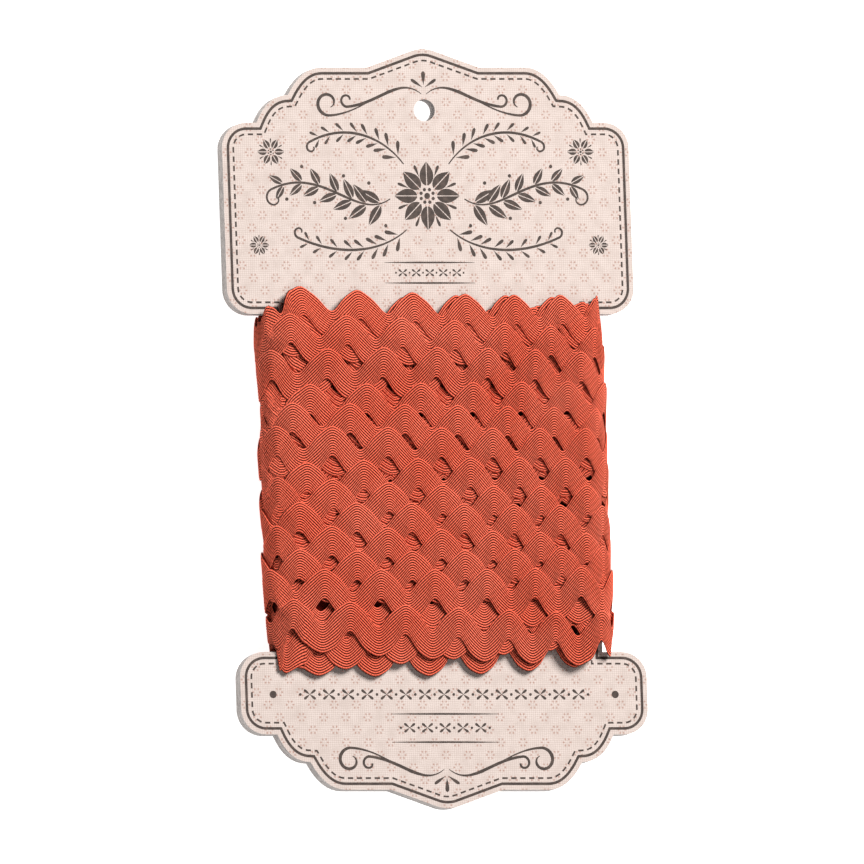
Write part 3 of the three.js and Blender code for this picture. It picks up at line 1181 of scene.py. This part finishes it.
    def scrolls(self, centre_y: float, up: int) -> None:
        """Adds the pair of scrolls at an end, with three drops over their middle.

        Args:
            centre_y: The height where the two scrolls meet.
            up: 1 at the top of the card, and -1 at its foot, where the scrolls hang the other way.
        """
        flip, shift = np.array([1, up]), np.array([0, centre_y])
        body = cubic((-0.5, 0.0), (-5.0, 3.6), (-9.0, -1.9), (-15.7, -2.5))
        small = np.concatenate([body, spiral((-15.75, -1.15), (1.35, 0.62), (-92, -360))])
        self.swelling(small * flip + shift, [0, 0.2, 0.45, 0.8, 1], [0.12, 0.62, 0.5, 0.42, 0.4])
        long = cubic((-7.0, 0.75), (-11.0, -1.2), (-15.0, -4.1), (-19.6, -4.2))
        large = np.concatenate([long, spiral((-19.6, -1.75), (2.45, 0.95), (-92, -420))])
        self.swelling(large * flip + shift, [0, 0.3, 0.55, 0.85, 1], [0.16, 0.3, 0.66, 0.5, 0.12])
        self.leaf((0.0, centre_y + up * 1.75), 90 * up, 2.7, 1.15, mirror=False)
        self.leaf((-0.25, centre_y + up * 1.3), 180 - 34 * up, 2.8, 0.9)

    def rosette(self, x: float, y: float, petals: int, size: float, mirror: bool = True) -> None:
        """Adds a blossom: a ring of veined petals with drops between them, and a heart of dots.

        Args:
            x: Its place across the card.
            y: Its place up the card.
            petals: How many petals it has.
            size: Its radius.
            mirror: Whether its mirror image is added too.
        """
        for k in range(petals):
            a = 2 * math.pi / petals * k
            b = a + math.pi / petals
            for turn, start, length, width in ((a, 0.3, 0.7, 0.4), (b, 0.62, 0.36, 0.12)):
                base = (x + size * start * math.cos(turn), y + size * start * math.sin(turn))
                draw = self.veined_leaf if turn == a else self.leaf
                draw(base, math.degrees(turn), size * length, size * width, mirror)
            self.dot((x + 0.2 * size * math.cos(b), y + 0.2 * size * math.sin(b)), 0.05 * size, mirror)
        self.dot((x, y), 0.09 * size, mirror)

    def spray(self, stem: np.ndarray, turn: float, leaves: int, length: float, veined: bool) -> None:
        """Adds a stem that ends in a curl, with pairs of leaves that shrink towards the curl.

        Args:
            stem: Points from its thick end on.
            turn: How far the curl turns, in degrees, anticlockwise where positive.
            leaves: How many pairs it has.
            length: The first leaf's length.
            veined: Whether the leaves show a vein.
        """
        curl = curled(stem, (0.42 * length, 0.12 * length), turn)
        self.swelling(curl, [0, 0.3, 0.7, 1], [0.22, 0.5, 0.4, 0.24])
        ahead = np.gradient(stem, axis=0)
        for k, t in enumerate(np.linspace(0.1, 0.93, leaves)):
            i = round(t * (len(stem) - 1))
            heading = math.degrees(math.atan2(ahead[i, 1], ahead[i, 0]))
            long = length * (1 - 0.4 * t)
            for way in (1, -1):
                a = math.radians(heading + 90 * way)
                base = (stem[i, 0] + 0.36 * math.cos(a), stem[i, 1] + 0.36 * math.sin(a))
                (self.veined_leaf if veined else self.leaf)(base, heading + 44 * way, long, 0.4 * long)
                if veined and (k + (way > 0)) % 2:
                    berry = (stem[i, 0] + 0.98 * long * math.cos(a), stem[i, 1] + 0.98 * long * math.sin(a))
                    self.dot(berry, 0.34)

    def garland(self, y: float) -> None:
        """Adds the garland of the top panel: a blossom with three leafy sprays to each side.

        Args:
            y: The blossom's place up the card.
        """
        self.rosette(0.0, y, 8, 6.6, mirror=False)
        self.rosette(-31.6, y + 8.6, 6, 2.7)
        self.rosette(-34.6, y - 9.6, 6, 2.0)
        self.spray(cubic((-7.6, y - 0.6), (-14.5, y - 5.2), (-21.0, y + 6.2), (-31.5, y + 1.4), 60),
                   300, 7, 4.7, veined=True)
        self.spray(cubic((-4.6, y + 6.2), (-8.5, y + 11.5), (-16.0, y + 14.5), (-23.5, y + 10.6), 40),
                   290, 8, 2.9, veined=False)
        self.spray(cubic((-4.4, y - 6.6), (-9.5, y - 11.0), (-18.0, y - 12.0), (-26.5, y - 8.2), 40),
                   -290, 8, 2.9, veined=False)

    def rule(self, y: float, half_length: float) -> None:
        """Adds a thin rule across the axis that tapers to both ends.

        Args:
            y: Its place up the card.
            half_length: Half its length.
        """
        t = np.linspace(-1, 1, 24)
        self.stroke(np.stack([half_length * t, 0 * t + y], axis=1), self.rule_width * (1.05 - t**2) + 0.05)

    def chain(self, y: float, half_length: float, size: float) -> None:
        """Adds a row of small four-petalled flowers with dots between, from the axis to both sides.

        Args:
            y: Its place up the card.
            half_length: Half its length.
            size: The flowers' size.
        """
        pitch = 1.45 * size
        for k in range(int(half_length / pitch) + 1):
            for angle in (38, 142, 218, 322):
                self.leaf((-k * pitch, y), angle, 0.56 * size, 0.27 * size, mirror=k > 0)
            self.dot((-(k + 0.5) * pitch, y), 0.1 * size)

    def build(self, material: bpy.types.Material, slot: str) -> None:
        """Draws all the marks and makes them one piece.

        Args:
            material: The ink's finish.
            slot: The record's material slot.
        """
        self.borders()
        self.scrolls(65.3, 1)
        self.scrolls(-66.5, -1)
        self.garland(45.4)
        self.rule(32.4, 9.2)
        self.rule(28.4, 9.2)
        self.chain(30.4, 6.4, 1.9)
        self.chain(-51.9, 30.4, 2.7)
        self.dot((-34.9, -51.9), 0.72)
        self.rule(-55.7, 11.0)
        self.rule(-61.2, 11.0)
        self.chain(-58.4, 8.6, 2.5)
        make_piece("card_print", np.concatenate(self.points), self.faces, material, slot, smooth=False)


@dataclass
class Studio:
    """The camera at the photo's angle to the card, soft light from its upper right, and a pale floor."""

    view_from: tuple[float, float, float] = (-0.31, -0.104, 0.945)
    seen_width: float = 167.6
    centre_right: float = -0.6
    centre_up: float = -0.68
    distance: float = 3000.0
    floor_half: float = 900.0
    floor_glow: float = 0.88
    ambient: float = 0.06

    def camera(self, face_z: float) -> None:
        """Adds a camera with parallel rays, turned so that the card's X axis is level in the picture.

        Args:
            face_z: The height of the card's printed face.
        """
        back = Vector(self.view_from).normalized()
        up = Vector((0, back.z, -back.y)).normalized()
        right = up.cross(back)
        target = Vector((0, 0, face_z)) + right * self.centre_right + up * self.centre_up
        data = bpy.data.cameras.new("camera")
        data.type = "ORTHO"
        data.ortho_scale = self.seen_width * MM
        data.clip_start, data.clip_end = 0.01, 10.0
        camera = bpy.data.objects.new("camera", data)
        turn = Matrix((right, up, back)).transposed().to_4x4()
        camera.matrix_world = Matrix.Translation((target + back * self.distance) * MM) @ turn
        bpy.context.scene.collection.objects.link(camera)
        bpy.context.scene.camera = camera

    def light(self, name: str, towards: tuple[float, float, float], distance: float, size: float,
              power: float, colour: str) -> None:
        """Adds a square area light that faces the winding.

        Args:
            name: The light's name.
            towards: The direction in which it stands.
            distance: How far off, in millimetres.
            size: Its side, in millimetres.
            power: Its power in watts.
            colour: Its sRGB hex colour.
        """
        data = bpy.data.lights.new(name, "AREA")
        data.size, data.energy, data.color = size * MM, power, linear(colour)[:3]
        lamp = bpy.data.objects.new(name, data)
        direction = Vector(towards).normalized()
        lamp.location = direction * distance * MM
        lamp.rotation_mode = "QUATERNION"
        lamp.rotation_quaternion = direction.to_track_quat("Z", "Y")
        bpy.context.scene.collection.objects.link(lamp)

    def floor(self) -> None:
        """Adds a plain floor of white paper that also gives back a little light."""
        material, tree = new_material("white_paper_sweep")
        shader = add_node(tree, "BsdfPrincipled", Base_Color=linear("f4f4f4"), Roughness=0.9,
                          Emission_Color=linear("ffffff"), Emission_Strength=self.floor_glow)
        add_node(tree, "OutputMaterial", shader)
        h = self.floor_half
        corners = np.array([[-h, -h, 0], [h, -h, 0], [h, h, 0], [-h, h, 0]], float)
        make_piece("floor", corners, [[0, 1, 2, 3]], material, None, smooth=False)

    def build(self, face_z: float) -> None:
        """Sets up the whole studio.

        Args:
            face_z: The height of the card's printed face.
        """
        self.camera(face_z)
        self.floor()
        self.light("key", (0.40, 0.53, 0.747), distance=2000, size=800, power=84.0, colour="fffaf5")
        self.light("low", (-0.2, -0.55, 0.81), distance=2000, size=1500, power=12.0, colour="fffdfa")
        world = bpy.data.worlds.new("studio")
        world.use_nodes = True
        sky = world.node_tree.nodes["Background"]
        sky.inputs["Color"].default_value = linear("ffffff")
        sky.inputs["Strength"].default_value = self.ambient
        bpy.context.scene.world = world
        bpy.context.scene.view_settings.view_transform = "Standard"


def dress_card(material: bpy.types.Material) -> None:
    """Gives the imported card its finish."""
    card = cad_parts["card"]
    card.data.materials.clear()
    card.data.materials.append(material)


def main() -> None:
    """Builds the studio, the card's finish and print, and the winding, in that order."""
    logging.basicConfig(level=logging.INFO, format="%(message)s")
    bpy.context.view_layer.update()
    face_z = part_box("card")[1].z / MM
    Studio().build(face_z)
    dress_card(BoardFinish().material(face_z))
    Print(face_z).build(InkFinish().material(), "printed_board")
    # Painted shade: the inner wraps get a near-black copy of the braid's finish for the shade far under the
    # turns.
    painted_shade_finish = BraidFinish("ric_rac_inner_wraps_painted_shade", crown="5a0d06", painted_groove_shade="1c0201", faded="6a140b")
    Winding().build(BraidFinish().material(), painted_shade_finish.material(), "ric_rac_braid")


if __name__ == "__main__":
    main()
